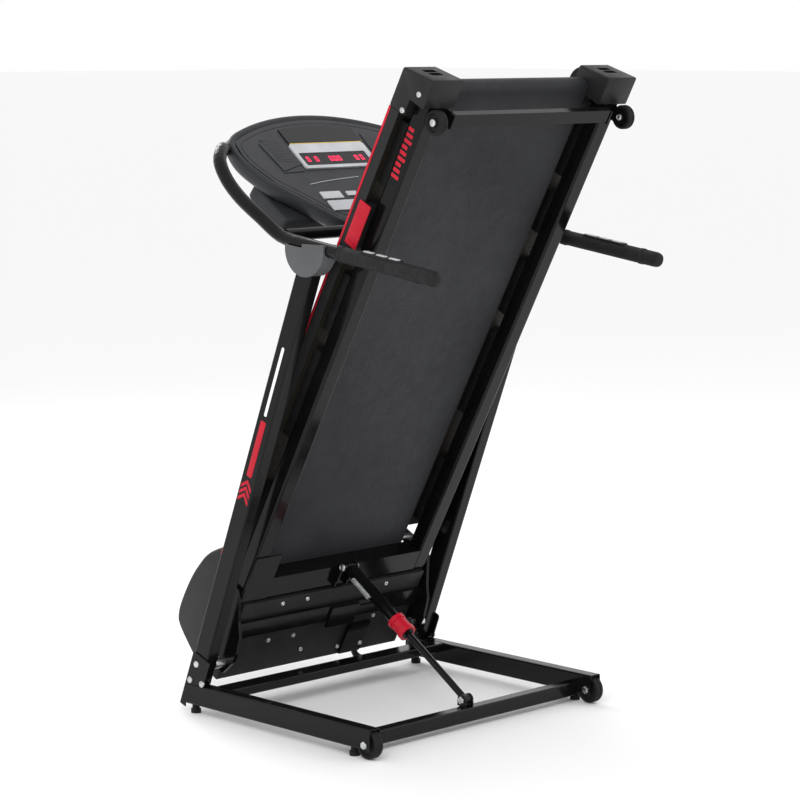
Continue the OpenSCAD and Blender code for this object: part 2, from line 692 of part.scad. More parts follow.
// ---- motor bay ----
pan_half = 272;
module motor_pan() color(plastic) at_deck() difference() {
    block(-pan_half, pan_half, 4, 91.8, 118, 320);
    block(-pan_half + 3, pan_half - 3, 3, 88.8, 121, 317);
    difference() {
        block(-300, 300, 3, side_tube_top + 0.3, 316, 321);
        block(-300, 300, 2, 4, 315, 322);
    }
    block(pulley_x - 10, pulley_x + 10, 3, 60, 316, 321);
}
hood_outline = [
    [24, 396], [62, 350], [78, 307], [87, 259], [89, 198], [83, 164], [72, 150], [-3.8, 114]
];
module motor_hood() color(plastic) at_deck() difference() {
    along_x(-pan_half, pan_half) polygon(concat(hood_outline, [[-3.8, 322], [-0.2, 396]]));
    along_x(-pan_half + 3, pan_half - 3) polygon([
        [19, 392], [58.5, 348], [75, 305.5], [84, 258.5], [86, 199], [80.4, 166], [70, 153],
        [2, 120], [-10, 120], [-10, 330], [-5, 392]]);
    both() block(belt_half - 230, pan_half + 1, -4, 0.4, 380, 400);
}
module motor_body() color(steel) at_deck() {
    difference() {
        pin_x(-150, 60, -motor_depth, motor_at, 48);
        pin_x(-145, 55, -motor_depth, motor_at, 44);
        pin_x(-200, 100, -motor_depth, motor_at, pin_radius + fit);
    }
    block(-130, 40, motor_depth + 47, 88.8, motor_at - 30, motor_at + 30);
}
module motor_rotor() color(zinc) at_deck() {
    pin_x(pulley_x - pulley_wide / 2, 82, -motor_depth, motor_at, pin_radius);
    pin_x(-120, 30, -motor_depth, motor_at, 38);
    pin_x(pulley_x - pulley_wide / 2, pulley_x + pulley_wide / 2, -motor_depth, motor_at, motor_pulley);
    pin_x(64, 80, -motor_depth, motor_at, 46);
}
module drive_belt() color(rubber) at_deck() along_x(pulley_x - 7, pulley_x + 7) difference() {
    drive_loop(drive_belt_thick + 0.35);
    drive_loop(0.35);
}
// belt line round both pulleys
module drive_loop(grow) hull() {
    translate([-motor_depth, motor_at]) circle(motor_pulley + grow);
    translate([-roller_depth, front_roller_at]) circle(roller_pulley + grow);
}
module motor_controller() color(green) at_deck() {
    block(110, 250, 84, 86, 140, 290);
    block(120, 150, 50, 84, 160, 280);
    for (s = [170, 210, 250]) translate([200, -84, s]) rotate([-90, 0, 0]) cylinder(r = 14, h = 34);
    both() block(112, 118, 86, 88.8, 150, 156);
}
pan_screw_places = [
    [-156, 305, 91.8], [-83, 305, 91.8], [-157, 204.5, 91.8], [-83, 204.5, 91.8],
    [-41, 157, 91.8], [78, 141, 91.8], [141, 145, 99], [157, 305, 91.8], [157, 215, 91.8]
];
module pan_screws() for (p = pan_screw_places)
    translate([p[0], -p[2], p[1]]) rotate([90, 0, 0]) cylinder(r = 5, h = 2);
module centre_bracket() color(paint) at_deck() {
    block(-3, 81, 101, 106, 219, 272);
    block(81, 138, 101, 104, 236, 263);
    block(86, 149, 91.8, 99, 122, 205);
}
module deck_fasteners() color(zinc) at_deck() {
    clevis_bolts();
    cap_screws();
    deck_wheel_axles();
    pan_screws();
}

// everything is set so the middle of the whole machine stands over the origin
module placed() translate([0, -machine_mid, 0]) children();

placed() base_rails();
placed() crossbars();
placed() foot_plates();
placed() rubber_feet();
placed() uprights();
placed() top_covers();
placed() base_fasteners();
placed() left_transport_wheel();
placed() right_transport_wheel();
placed() handlebars();
placed() grips();
placed() console_arms();
placed() console_crossbar();
placed() left_grip_key();
placed() right_grip_key();
placed() console_shell();
placed() console_face();
placed() display_frame();
placed() display_windows();
placed() console_board();
placed() speaker_grilles();
placed() start_key();
placed() stop_key();
placed() mode_key();
placed() speed_key();
placed() slope_key();
placed() safety_key();
placed() harness_conduit();
placed() hinge_pins();
placed() strut_foot_bracket();
placed() strut_rod();
placed() strut_tube();
placed() strut_top_pin();
placed() strut_bushing();
placed() lock_collar();
placed() strut_spring();
placed() deck_side_tubes();
placed() hinge_plates();
placed() deck_cross_members();
placed() foot_rails();
placed() foot_rail_stripes();
placed() deck_cushions();
placed() red_cushions();
placed() deck_board();
placed() running_belt();
placed() front_roller();
placed() rear_roller();
placed() roller_axles();
placed() end_caps();
placed() wheel_bar();
placed() left_deck_wheel();
placed() right_deck_wheel();
placed() motor_pan();
placed() motor_hood();
placed() motor_body();
placed() motor_rotor();
placed() drive_belt();
placed() motor_controller();
placed() centre_bracket();
placed() deck_fasteners();
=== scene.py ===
import json
import math

import bmesh
import bpy
from mathutils import Matrix, Vector

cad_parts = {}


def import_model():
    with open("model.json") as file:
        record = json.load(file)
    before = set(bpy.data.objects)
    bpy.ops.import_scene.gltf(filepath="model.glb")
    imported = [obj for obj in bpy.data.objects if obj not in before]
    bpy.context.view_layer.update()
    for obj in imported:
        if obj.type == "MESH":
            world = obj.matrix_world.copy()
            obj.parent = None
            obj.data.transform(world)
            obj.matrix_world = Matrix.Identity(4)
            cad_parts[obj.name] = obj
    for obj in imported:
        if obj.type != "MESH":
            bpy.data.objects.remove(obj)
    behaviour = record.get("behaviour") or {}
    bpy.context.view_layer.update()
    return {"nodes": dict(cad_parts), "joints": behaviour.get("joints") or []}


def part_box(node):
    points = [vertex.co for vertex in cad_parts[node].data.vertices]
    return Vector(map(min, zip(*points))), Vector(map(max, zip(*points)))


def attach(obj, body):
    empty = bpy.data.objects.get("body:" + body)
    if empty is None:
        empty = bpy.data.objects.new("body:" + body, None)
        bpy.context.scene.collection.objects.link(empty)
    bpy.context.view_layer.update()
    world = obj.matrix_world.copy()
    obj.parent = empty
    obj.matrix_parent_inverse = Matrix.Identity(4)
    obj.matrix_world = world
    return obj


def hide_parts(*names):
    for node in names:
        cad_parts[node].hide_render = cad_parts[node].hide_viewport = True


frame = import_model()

bl_info = {
    "name": "Folding treadmill",
    "version": (1, 0, 0),
    "blender": (4, 5, 0),
    "location": "View3D > Sidebar > Treadmill",
    "description": "Builds the finished look of a folding treadmill on its packed frame",
    "category": "Object",
}

NODES = frame["nodes"]
MIDDLE = -27.243
DECK_LEAN = math.radians(28.2)
PIVOT = (232.0, 110.0)
PIVOT_ALONG, PIVOT_DEPTH = 181.4, 105.6
UPRIGHT_LEAN = math.radians(21.4)
UPRIGHT_FOOT = 311.2
TILT = math.radians(39)
BAR_SLOPE = math.radians(7.5)
BAR_START = (332.0, -92.0, 1029.0)


# ---- places, millimetres in and metres out ----
def world(x, y, z):
    return Vector((x / 1000, (y - MIDDLE) / 1000, z / 1000))


def deck(x, t, s):
    """Point at depth t below the belt surface and station s up the deck."""
    a, b = s - PIVOT_ALONG, t - PIVOT_DEPTH
    y = PIVOT[0] - a * math.sin(DECK_LEAN) - b * math.cos(DECK_LEAN)
    z = PIVOT[1] + a * math.cos(DECK_LEAN) - b * math.sin(DECK_LEAN)
    return world(x, y, z)


def upright(x, p, a):
    """Point p behind the front edge of an upright and a along it."""
    y = UPRIGHT_FOOT - p * math.cos(UPRIGHT_LEAN) - a * math.sin(UPRIGHT_LEAN)
    z = a * math.cos(UPRIGHT_LEAN) - p * math.sin(UPRIGHT_LEAN)
    return world(x, y, z)


def face(x, v, w):
    """Point on the console: x across, v up the face, w out of it."""
    return world(x, 176 + v * math.cos(TILT) - w * math.sin(TILT),
                 1189 + v * math.sin(TILT) + w * math.cos(TILT))


def bar(x, up, back):
    """Point beside a right handlebar: x out, up from its line and back along it."""
    c, s = math.cos(BAR_SLOPE), math.sin(BAR_SLOPE)
    return world(BAR_START[0] + x, BAR_START[1] - back * c - up * s,
                 BAR_START[2] - back * s + up * c)


def flip(p, side):
    return Vector((p[0] * side, p[1], p[2]))


# ---- materials ----
class Mat:
    """A node material made step by step."""

    def __init__(self, name, color, rough, metal=0.0, coat=0.0, coat_rough=0.1, spec=0.5):
        self.m = bpy.data.materials.new(name)
        self.m.use_nodes = True
        self.t = self.m.node_tree
        self.b = self.t.nodes["Principled BSDF"]
        self.b.inputs["Base Color"].default_value = (*color, 1)
        self.b.inputs["Roughness"].default_value = rough
        self.b.inputs["Metallic"].default_value = metal
        self.b.inputs["Coat Weight"].default_value = coat
        self.b.inputs["Coat Roughness"].default_value = coat_rough
        self.b.inputs["Specular IOR Level"].default_value = spec
        self.coord = self.t.nodes.new("ShaderNodeTexCoord").outputs["Object"]
        self.normal = None

    def mapped(self, scale, turn=(0, 0, 0)):
        n = self.t.nodes.new("ShaderNodeMapping")
        n.inputs["Scale"].default_value = scale
        n.inputs["Rotation"].default_value = turn
        self.t.links.new(self.coord, n.inputs["Vector"])
        return n.outputs["Vector"]

    def noise(self, scale, detail=3, vector=None):
        n = self.t.nodes.new("ShaderNodeTexNoise")
        n.inputs["Scale"].default_value = scale
        n.inputs["Detail"].default_value = detail
        self.t.links.new(vector or self.coord, n.inputs["Vector"])
        return n.outputs["Fac"]

    def wave(self, scale, vector=None, direction="X", profile="SIN"):
        n = self.t.nodes.new("ShaderNodeTexWave")
        n.bands_direction = direction
        n.wave_profile = profile
        n.inputs["Scale"].default_value = scale
        self.t.links.new(vector or self.coord, n.inputs["Vector"])
        return n.outputs["Fac"]

    def cells(self, scale, vector=None):
        n = self.t.nodes.new("ShaderNodeTexVoronoi")
        n.inputs["Scale"].default_value = scale
        self.t.links.new(vector or self.coord, n.inputs["Vector"])
        return n.outputs["Distance"]

    def math(self, op, a, b):
        n = self.t.nodes.new("ShaderNodeMath")
        n.operation = op
        for i, v in enumerate((a, b)):
            if isinstance(v, (int, float)):
                n.inputs[i].default_value = v
            else:
                self.t.links.new(v, n.inputs[i])
        return n.outputs[0]

    def spread(self, value, low, high, out_low, out_high):
        n = self.t.nodes.new("ShaderNodeMapRange")
        for i, v in enumerate((low, high, out_low, out_high)):
            n.inputs[i + 1].default_value = v
        self.t.links.new(value, n.inputs[0])
        return n.outputs[0]

    def blend_color(self, value, a, b, low=0.0, high=1.0):
        n = self.t.nodes.new("ShaderNodeValToRGB")
        n.color_ramp.elements[0].position = low
        n.color_ramp.elements[1].position = high
        n.color_ramp.elements[0].color = (*a, 1)
        n.color_ramp.elements[1].color = (*b, 1)
        self.t.links.new(value, n.inputs["Fac"])
        self.t.links.new(n.outputs["Color"], self.b.inputs["Base Color"])
        return self

    def rough(self, value, low, high):
        self.t.links.new(self.spread(value, 0.3, 0.7, low, high), self.b.inputs["Roughness"])
        return self

    def bump(self, height, strength, distance):
        n = self.t.nodes.new("ShaderNodeBump")
        n.inputs["Strength"].default_value = strength
        n.inputs["Distance"].default_value = distance
        self.t.links.new(height, n.inputs["Height"])
        if self.normal:
            self.t.links.new(self.normal, n.inputs["Normal"])
        self.normal = n.outputs["Normal"]
        self.t.links.new(self.normal, self.b.inputs["Normal"])
        return self


def painted(name, color, rough=0.16):
    m = Mat(name, color, rough, coat=0.06, coat_rough=0.05, spec=0.15)
    light = tuple(min(1, c * 1.35 + 0.001) for c in color)
    m.blend_color(m.noise(9, 4), color, light, 0.35, 0.75)
    m.rough(m.noise(26, 5), rough * 0.8, rough * 1.35)
    m.bump(m.noise(240, 2), 0.035, 0.0006)
    m.bump(m.noise(28, 2), 0.02, 0.002)
    return m.m


def moulded(name, color, rough=0.45, grain=1500, depth=0.12):
    m = Mat(name, color, rough, spec=0.19)
    light = tuple(min(1, c * 1.3 + 0.002) for c in color)
    m.blend_color(m.noise(14, 4), color, light, 0.3, 0.8)
    m.rough(m.noise(60, 4), rough * 0.88, rough * 1.12)
    m.bump(m.cells(grain), depth, 0.0002)
    return m.m


def plated(name, color, rough=0.28):
    m = Mat(name, color, rough, metal=1.0)
    dull = tuple(c * 0.72 for c in color)
    m.blend_color(m.noise(70, 4), dull, color, 0.3, 0.7)
    m.rough(m.noise(180, 4), rough * 0.7, rough * 1.5)
    m.bump(m.noise(900, 2), 0.08, 0.0002)
    return m.m


def turned(name, color, rough=0.25):
    m = Mat(name, color, rough, metal=1.0)
    m.blend_color(m.noise(40, 4), tuple(c * 0.75 for c in color), color, 0.3, 0.7)
    m.rough(m.noise(120, 3), rough * 0.8, rough * 1.4)
    m.bump(m.wave(900, direction="X"), 0.06, 0.0001)
    return m.m


def soft_rubber(name, color, rough=0.6, grain=700):
    m = Mat(name, color, rough, spec=0.18)
    m.blend_color(m.noise(30, 5), color, tuple(c * 1.5 + 0.002 for c in color), 0.35, 0.8)
    m.rough(m.noise(90, 3), rough * 0.85, rough * 1.15)
    m.bump(m.noise(grain, 3), 0.2, 0.0004)
    return m.m


def belt_weave(name, color):
    """Fine diamond grain of a running belt, laid along the deck."""
    m = Mat(name, color, 0.5, spec=0.16)
    m.b.inputs["Sheen Weight"].default_value = 0.04
    m.b.inputs["Sheen Roughness"].default_value = 0.45
    lay = m.mapped((1, 1, 1), (DECK_LEAN, 0, 0))
    across = m.mapped((1, 1, 1), (DECK_LEAN, math.radians(45), 0))
    counter = m.mapped((1, 1, 1), (DECK_LEAN, math.radians(-45), 0))
    grid = m.math("MULTIPLY", m.wave(85, across), m.wave(85, counter))
    m.blend_color(m.noise(5, 4, lay), color, tuple(c * 1.5 + 0.002 for c in color), 0.35, 0.75)
    m.rough(m.noise(40, 4, lay), 0.42, 0.58)
    m.bump(grid, 0.35, 0.0006)
    m.bump(m.noise(900, 2), 0.1, 0.0002)
    return m.m


def dark_glass(name, color):
    m = Mat(name, color, 0.12, coat=0.1, coat_rough=0.05, spec=0.22)
    m.rough(m.noise(30, 3), 0.1, 0.16)
    m.bump(m.noise(900, 2), 0.01, 0.0001)
    return m.m


def glowing(name, color, strength):
    m = Mat(name, color, 0.4)
    m.b.inputs["Emission Color"].default_value = (*color, 1)
    m.b.inputs["Emission Strength"].default_value = strength
    m.rough(m.noise(80, 2), 0.35, 0.45)
    return m.m


def fibre_board(name):
    m = Mat(name, (0.012, 0.01, 0.008), 0.55, spec=0.2)
    m.blend_color(m.noise(260, 6), (0.009, 0.008, 0.006), (0.02, 0.016, 0.011), 0.3, 0.7)
    m.rough(m.noise(120, 3), 0.45, 0.65)
    m.bump(m.noise(800, 3), 0.2, 0.0003)
    return m.m


M = {}


def make_materials():
    look = bpy.context.scene.treadmill_look
    black = tuple(look.frame_color)
    red = tuple(look.trim_color)
    M.update(
        paint=painted("gloss_black_paint", black),
        paint_deck=painted("deck_black_paint", tuple(c * 0.85 for c in black), 0.14),
        zinc=plated("zinc_plate", (0.66, 0.67, 0.68)),
        steel=turned("ground_steel", (0.5, 0.5, 0.51)),
        rubber=soft_rubber("black_rubber", (0.006, 0.006, 0.0065)),
        foam=soft_rubber("grip_foam", (0.011, 0.011, 0.012), 0.72, 1100),
        plastic=moulded("grained_black_plastic", (0.011, 0.011, 0.012)),
        console=moulded("console_charcoal", (0.024, 0.025, 0.028), 0.42, 1300),
        panel=moulded("console_face_black", (0.03, 0.031, 0.035), 0.4, 1800, 0.06),
        hood=moulded("hood_black", (0.017, 0.017, 0.018), 0.42, 1600, 0.08),
        gloss=moulded("smooth_black_plastic", (0.005, 0.005, 0.005), 0.18, 2200, 0.03),
        grey=moulded("cover_grey", (0.075, 0.078, 0.082), 0.38, 1300, 0.08),
        silver=moulded("silver_lacquer", (0.46, 0.47, 0.49), 0.3, 2000, 0.04),
        red=moulded("red_trim", red, 0.25, 2000, 0.03),
        belt=belt_weave("belt_rubber", (0.014, 0.0145, 0.017)),
        glass=dark_glass("display_window", (0.004, 0.004, 0.005)),
        led=glowing("display_red", (1.0, 0.01, 0.1), 1.3),
        yellow=moulded("yellow_line", (0.75, 0.5, 0.05), 0.35, 2000, 0.02),
        white=moulded("white_stripe", (0.72, 0.73, 0.74), 0.35, 2000, 0.03),
        board=fibre_board("deck_fibre_board"),
        circuit=moulded("circuit_lacquer", (0.02, 0.12, 0.06), 0.3, 700, 0.1),
    )


# ---- meshes ----
def new_object(name, verts, faces, material, smooth=True, angle=35):
    me = bpy.data.meshes.new(name)
    me.from_pydata([tuple(v) for v in verts], [], faces)
    bm = bmesh.new()
    bm.from_mesh(me)
    bmesh.ops.remove_doubles(bm, verts=bm.verts, dist=1e-6)
    bmesh.ops.recalc_face_normals(bm, faces=bm.faces)
    bm.to_mesh(me)
    bm.free()
    return finish_mesh(name, me, material, smooth, angle)


def finish_mesh(name, me, material, smooth=True, angle=35):
    obj = bpy.data.objects.new(name, me)
    bpy.context.scene.collection.objects.link(obj)
    if material:
        me.materials.clear()
        me.materials.append(material)
    if smooth:
        me.shade_smooth()
        me.set_sharp_from_angle(angle=math.radians(angle))
    return obj


def rings_mesh(rings, close_ends=True, loop=False):
    n = len(rings[0])
    verts = [v for r in rings for v in r]
    faces = []
    count = len(rings) if loop else len(rings) - 1
    for i in range(count):
        a, b = i * n, ((i + 1) % len(rings)) * n
        for j in range(n):
            k = (j + 1) % n
            faces.append((a + j, a + k, b + k, b + j))
    if close_ends and not loop:
        faces.append(tuple(range(n - 1, -1, -1)))
        faces.append(tuple(range((len(rings) - 1) * n, len(rings) * n)))
    return verts, faces


def rounded(w, h, r, steps=6):
    """Outline of a rounded rectangle about its middle."""
    pts = []
    r = min(r, w / 2, h / 2)
    for cx, cy, a0 in ((w / 2 - r, h / 2 - r, 0), (-w / 2 + r, h / 2 - r, 90),
                       (-w / 2 + r, -h / 2 + r, 180), (w / 2 - r, -h / 2 + r, 270)):
        for k in range(steps + 1):
            a = math.radians(a0 + 90 * k / steps)
            pts.append((cx + r * math.cos(a), cy + r * math.sin(a)))
    return pts


def soft_block(place, x0, x1, y0, y1, z0, z1, corner, edge, steps=5):
    """Rings of a block with rounded upright corners and eased top and bottom edges."""
    rings = []
    levels = [(z0, edge)] + [(z0 + edge * (1 - math.cos(a)), edge * (1 - math.sin(a)))
                             for a in (math.pi / 6, math.pi / 3, math.pi / 2)]
    levels += [(z0 + z1 - z, inset) for z, inset in reversed(levels)]
    for z, inset in levels:
        ring = rounded(x1 - x0 - 2 * inset, y1 - y0 - 2 * inset, max(corner - inset, 0.05), steps)
        rings.append([place((x0 + x1) / 2 + a, (y0 + y1) / 2 + b, z) for a, b in ring])
    return rings_mesh(rings)


def lathe(profile, sides, place):
    """Turned shape: profile holds (radius, height), place(a, b, height) sets each point."""
    rings = []
    for r, h in profile:
        rings.append([place(r * math.cos(2 * math.pi * k / sides),
                            r * math.sin(2 * math.pi * k / sides), h) for k in range(sides)])
    return rings_mesh(rings)


def joined(parts):
    verts, faces = [], []
    for v, f in parts:
        base = len(verts)
        verts += list(v)
        faces += [tuple(i + base for i in q) for q in f]
    return verts, faces


def smooth_path(points, steps):
    out = []
    p = [Vector(q) for q in points]
    for i in range(len(p) - 1):
        a, b, c, d = p[max(i - 1, 0)], p[i], p[i + 1], p[min(i + 2, len(p) - 1)]
        for k in range(steps):
            u = k / steps
            out.append(0.5 * (2 * b + (c - a) * u + (2 * a - 5 * b + 4 * c - d) * u * u
                              + (3 * b - a - 3 * c + d) * u * u * u))
    out.append(p[-1])
    return out


def sweep(path, radius, sides, up=(1, 0, 0)):
    rings = []
    up = Vector(up)
    for i, p in enumerate(path):
        d = (path[min(i + 1, len(path) - 1)] - path[max(i - 1, 0)]).normalized()
        u = up.cross(d).normalized()
        v = d.cross(u)
        r = radius(i) if callable(radius) else radius
        rings.append([p + r * (math.cos(2 * math.pi * k / sides) * u
                               + math.sin(2 * math.pi * k / sides) * v) for k in range(sides)])
    return rings_mesh(rings)


def give(obj, body, replaces=()):
    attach(obj, body)
    if replaces:
        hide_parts(*replaces)
    return obj


# ---- geometry nodes ----
def points_object(name, places):
    """Loose points, each with a direction kept as an attribute."""
    me = bpy.data.meshes.new(name)
    me.from_pydata([tuple(p) for p, _, _ in places], [], [])
    me.attributes.new("aim", "FLOAT_VECTOR", "POINT")
    me.attributes.new("size", "FLOAT", "POINT")
    aim, size = me.attributes["aim"], me.attributes["size"]
    for i, (_, d, r) in enumerate(places):
        aim.data[i].vector = tuple(d)
        size.data[i].value = r
    obj = bpy.data.objects.new(name, me)
    bpy.context.scene.collection.objects.link(obj)
    return obj


def tree(name, inputs):
    g = bpy.data.node_groups.new(name, "GeometryNodeTree")
    g.interface.new_socket("Geometry", in_out="INPUT", socket_type="NodeSocketGeometry")
    ids = {}
    for label, kind, default in inputs:
        s = g.interface.new_socket(label, in_out="INPUT", socket_type=kind)
        if default is not None:
            s.default_value = default
        ids[label] = s.identifier
    g.interface.new_socket("Geometry", in_out="OUTPUT", socket_type="NodeSocketGeometry")
    return g, ids


def wire(g, *pairs):
    for a, b in pairs:
        g.links.new(a, b)


def run_tree(obj, g, values, name):
    """Runs a node tree on obj and returns the result as a plain mesh object."""
    mod = obj.modifiers.new(name, "NODES")
    mod.node_group = g
    for key, value in values.items():
        mod[key] = value
    bpy.context.view_layer.update()
    deps = bpy.context.evaluated_depsgraph_get()
    me = bpy.data.meshes.new_from_object(obj.evaluated_get(deps), depsgraph=deps)
    bpy.data.objects.remove(obj)
    out = bpy.data.objects.new(name, me)
    bpy.context.scene.collection.objects.link(out)
    return out


def head_object(name, sides, dome, recess):
    """Unit bolt head, radius one and height one, with a cross recess or a hexagon."""
    bm = bmesh.new()
    profile = [(1.0, 0.0), (1.0, 0.45), (0.9, 0.8), (0.62, 1.0)] if dome else \
        [(1.0, 0.0), (1.0, 0.82), (0.88, 1.0), (0.55, 1.0)]
    verts, faces = lathe(profile, sides, lambda a, b, h: Vector((a, b, h)))
    me = bpy.data.meshes.new(name)
    me.from_pydata([tuple(v) for v in verts], [], faces)
    bm.from_mesh(me)
    top = max(bm.faces, key=lambda f: f.calc_center_median().z - (0 if len(f.verts) > 6 else 9))
    bmesh.ops.inset_individual(bm, faces=[top], thickness=0.1)
    if recess:
        bmesh.ops.translate(bm, verts=top.verts, vec=(0, 0, -recess))
    bmesh.ops.recalc_face_normals(bm, faces=bm.faces)
    bm.to_mesh(me)
    bm.free()
    me.shade_smooth()
    me.set_sharp_from_angle(angle=math.radians(30))
    obj = bpy.data.objects.new(name, me)
    bpy.context.scene.collection.objects.link(obj)
    return obj


def bolt_tree(material):
    """Sets one bolt head on every point, turned to its own direction."""
    g, ids = tree("set_bolt_heads", [("Head", "NodeSocketObject", None),
                                     ("Height", "NodeSocketFloat", 0.6)])
    n = g.nodes
    gin, gout = n.new("NodeGroupInput"), n.new("NodeGroupOutput")
    aim, size = n.new("GeometryNodeInputNamedAttribute"), n.new("GeometryNodeInputNamedAttribute")
    aim.data_type = "FLOAT_VECTOR"
    aim.inputs["Name"].default_value = "aim"
    size.inputs["Name"].default_value = "size"
    turn = n.new("FunctionNodeAlignRotationToVector")
    turn.axis = "Z"
    info = n.new("GeometryNodeObjectInfo")
    put = n.new("GeometryNodeInstanceOnPoints")
    scale = n.new("ShaderNodeVectorMath")
    scale.operation = "SCALE"
    shape = n.new("ShaderNodeCombineXYZ")
    shape.inputs[0].default_value = 1
    shape.inputs[1].default_value = 1
    real = n.new("GeometryNodeRealizeInstances")
    paint = n.new("GeometryNodeSetMaterial")
    paint.inputs["Material"].default_value = material
    wire(g, (gin.outputs["Height"], shape.inputs[2]), (shape.outputs[0], scale.inputs[0]),
         (size.outputs["Attribute"], scale.inputs["Scale"]),
         (aim.outputs["Attribute"], turn.inputs["Vector"]),
         (gin.outputs["Head"], info.inputs["Object"]),
         (gin.outputs["Geometry"], put.inputs["Points"]),
         (info.outputs["Geometry"], put.inputs["Instance"]),
         (turn.outputs["Rotation"], put.inputs["Rotation"]),
         (scale.outputs["Vector"], put.inputs["Scale"]),
         (put.outputs["Instances"], real.inputs["Geometry"]),
         (real.outputs["Geometry"], paint.inputs["Geometry"]),
         (paint.outputs["Geometry"], gout.inputs["Geometry"]))
    return g, ids


def set_bolts(name, places, body, sides=20, dome=True, height=0.55):
    head = head_object(name + "_head", sides, dome, 0.35 if dome else 0)
    g, ids = bolt_tree(M["zinc"])
    pts = points_object(name + "_points", places)
    obj = run_tree(pts, g, {ids["Head"]: head, ids["Height"]: height}, name)
    bpy.data.objects.remove(head)
    return give(obj, body)


# ---- properties ----
class TreadmillLook(bpy.types.PropertyGroup):
    frame_color: bpy.props.FloatVectorProperty(
        name="Frame colour", description="Paint of the steel frame", subtype="COLOR",
        default=(0.0035, 0.0035, 0.004), min=0, max=1)
    trim_color: bpy.props.FloatVectorProperty(
        name="Trim colour", description="Red of the stripes, collar and cushions",
        subtype="COLOR", default=(0.42, 0.008, 0.022), min=0, max=1)
    rib_pitch: bpy.props.FloatProperty(
        name="Rib pitch", description="Distance between the ribs of the foot rails",
        default=0.006, min=0.003, max=0.02, unit="LENGTH")
    spring_turns: bpy.props.IntProperty(
        name="Spring turns", description="Turns of the small strut spring", default=20, min=6, max=40)
    conduit_pitch: bpy.props.FloatProperty(
        name="Conduit pitch", description="Distance between the rings of the wiring conduit",
        default=0.0035, min=0.002, max=0.01, unit="LENGTH")


class PieceOperator:
    """Shared parts of every operator of this panel."""
    bl_options = {"REGISTER", "UNDO"}


class TREADMILL_OT_stage(PieceOperator, bpy.types.Operator):
    """Camera, soft studio lights and a plain pale floor"""
    bl_idname = "treadmill.stage"
    bl_label = "Stage"

    def execute(self, context):
        cam = bpy.data.objects.new("camera", bpy.data.cameras.new("camera"))
        context.scene.collection.objects.link(cam)
        cam.data.sensor_width = 36
        cam.data.lens = 122.2
        cam.location = world(-4038.9, -4114.8, 1443.5)
        cam.rotation_euler = Vector((0.6960, 0.7058, -0.1323)).to_track_quat("-Z", "Y").to_euler()
        context.scene.camera = cam
        pale = Mat("pale_floor", (0.93, 0.93, 0.93), 0.6)
        pale.bump(pale.noise(60, 2), 0.02, 0.001)
        verts, faces = [(-90, -90, 0), (90, -90, 0), (90, 90, 0), (-90, 90, 0)], [(0, 1, 2, 3)]
        floor = new_object("floor", verts, faces, pale.m, False)
        sky = bpy.data.worlds.new("studio")
        sky.use_nodes = True
        sky.node_tree.nodes["Background"].inputs["Color"].default_value = (1, 1, 1, 1)
        sky.node_tree.nodes["Background"].inputs["Strength"].default_value = 1.0
        context.scene.world = sky
        for name, place, size, power in (
                ("key", (-3.2, -2.2, 3.4), 2.0, 62), ("fill", (2.6, -3.4, 2.4), 2.6, 20),
                ("rim", (0.8, 3.2, 3.2), 2.0, 48), ("low", (-3.6, 0.4, 1.1), 1.0, 9)):
            light = bpy.data.lights.new(name, "AREA")
            light.shape = "RECTANGLE"
            light.size, light.size_y, light.energy = size, size, power
            lamp = bpy.data.objects.new(name, light)
            lamp.location = place
            lamp.rotation_euler = (Vector((0, 0, 0.7)) - Vector(place)).to_track_quat("-Z", "Y").to_euler()
            context.scene.collection.objects.link(lamp)
        context.scene.view_settings.view_transform = "Standard"
        return {"FINISHED"}


FINISH = {
    "paint": "base_rails crossbars foot_plates uprights handlebars console_arms console_crossbar "
             "strut_foot_bracket strut_rod",
    "paint_deck": "strut_tube deck_side_tubes hinge_plates deck_cross_members wheel_bar centre_bracket",
    "zinc": "base_fasteners hinge_pins strut_top_pin strut_spring deck_fasteners roller_axles",
    "steel": "rear_roller front_roller motor_body motor_rotor",
    "rubber": "rubber_feet grips deck_cushions left_transport_wheel right_transport_wheel "
              "left_deck_wheel right_deck_wheel drive_belt",
    "plastic": "foot_rails end_caps motor_pan harness_conduit strut_bushing "
               "left_grip_key right_grip_key",
    "console": "console_shell", "panel": "console_face speaker_grilles", "hood": "motor_hood",
    "grey": "top_covers", "glass": "display_windows",
    "silver": "display_frame start_key mode_key speed_key slope_key",
    "red": "stop_key safety_key lock_collar foot_rail_stripes red_cushions",
    "belt": "running_belt", "board": "deck_board", "circuit": "console_board motor_controller",
}


class TREADMILL_OT_finishes(PieceOperator, bpy.types.Operator):
    """Paint, plating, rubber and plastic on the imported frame"""
    bl_idname = "treadmill.finishes"
    bl_label = "Finishes"

    def execute(self, context):
        make_materials()
        for key, names in FINISH.items():
            for name in names.split():
                me = NODES[name].data
                if not me.materials:
                    me.materials.append(M[key])
                for i in range(len(me.materials)):
                    me.materials[i] = M[key]
        return {"FINISHED"}


PLATE_BOLTS = ((19.8, 128), (13, 85), (50.5, 96))
PAN_SCREWS = ((-156, 305, 91.8), (-83, 305, 91.8), (-157, 204.5, 91.8), (-83, 204.5, 91.8),
              (-41, 157, 91.8), (78, 141, 91.8), (141, 145, 99), (157, 305, 91.8), (157, 215, 91.8))


